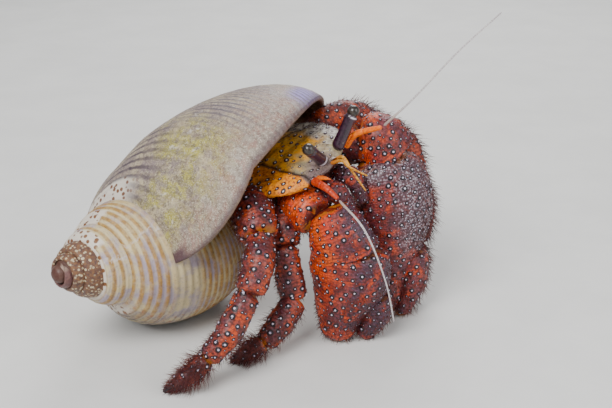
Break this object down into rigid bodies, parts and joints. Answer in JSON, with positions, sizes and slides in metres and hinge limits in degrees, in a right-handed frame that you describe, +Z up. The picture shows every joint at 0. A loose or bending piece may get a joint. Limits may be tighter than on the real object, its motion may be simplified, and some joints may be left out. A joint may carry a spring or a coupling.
{
  "type": "hermit crab in a tun shell",
  "caption": "Hermit crab standing in a large spiral tun shell, spotted claws held down in front, eyes raised, feelers out; a still life-size museum-style model.",
  "frame": {"origin": "on the floor under the middle of the model's box", "axes": "+X towards the crab's claws and along the longest extent, -Y towards the side that the shell's apex and the right legs face, +Z up"},
  "size_m": [0.1536, 0.1266, 0.1171],
  "materials": {
    "shell": "satin, ribbed and weathered, beige-grey with cream and ochre bands",
    "shield": "satin, yellow to pale grey with white spots",
    "claw_plate": "satin, red-orange with white tubercles and dark bristles",
    "leg_plate": "satin, red-orange with white tubercles and dark bristles",
    "flesh": "soft dark red-brown skin",
    "eyestalk": "smooth dark purple",
    "cornea": "glossy dark brown-grey",
    "feeler": "orange, satin",
    "flagellum": "pale grey, ringed"
  },
  "bodies": {
    "root": {"shell": "shell", "shield": "shield", "thorax": "flesh", "abdomen": "flesh", "claw_right_merus": "claw_plate", "claw_right_carpus": "claw_plate", "claw_right_palm": "claw_plate", "claw_right_finger": "claw_plate", "claw_left_merus": "claw_plate", "claw_left_carpus": "claw_plate", "claw_left_palm": "claw_plate", "claw_left_finger": "claw_plate", "leg_right_front_merus": "leg_plate", "leg_right_front_carpus": "leg_plate", "leg_right_front_propodus": "leg_plate", "leg_right_front_dactyl": "leg_plate", "leg_right_rear_merus": "leg_plate", "leg_right_rear_carpus": "leg_plate", "leg_right_rear_propodus": "leg_plate", "leg_right_rear_dactyl": "leg_plate", "leg_left_front_merus": "leg_plate", "leg_left_front_carpus": "leg_plate", "leg_left_front_propodus": "leg_plate", "leg_left_front_dactyl": "leg_plate", "leg_left_rear_merus": "leg_plate", "leg_left_rear_carpus": "leg_plate", "leg_left_rear_propodus": "leg_plate", "leg_left_rear_dactyl": "leg_plate", "eyestalk_right": "eyestalk", "eye_right": "cornea", "maxilliped_right": "leg_plate", "antennule_right": "feeler", "antenna_base_right": "feeler", "antenna_right": "flagellum", "eyestalk_left": "eyestalk", "eye_left": "cornea", "maxilliped_left": "leg_plate", "antennule_left": "feeler", "antenna_base_left": "feeler", "antenna_left": "flagellum"}
  },
  "joints": []
}
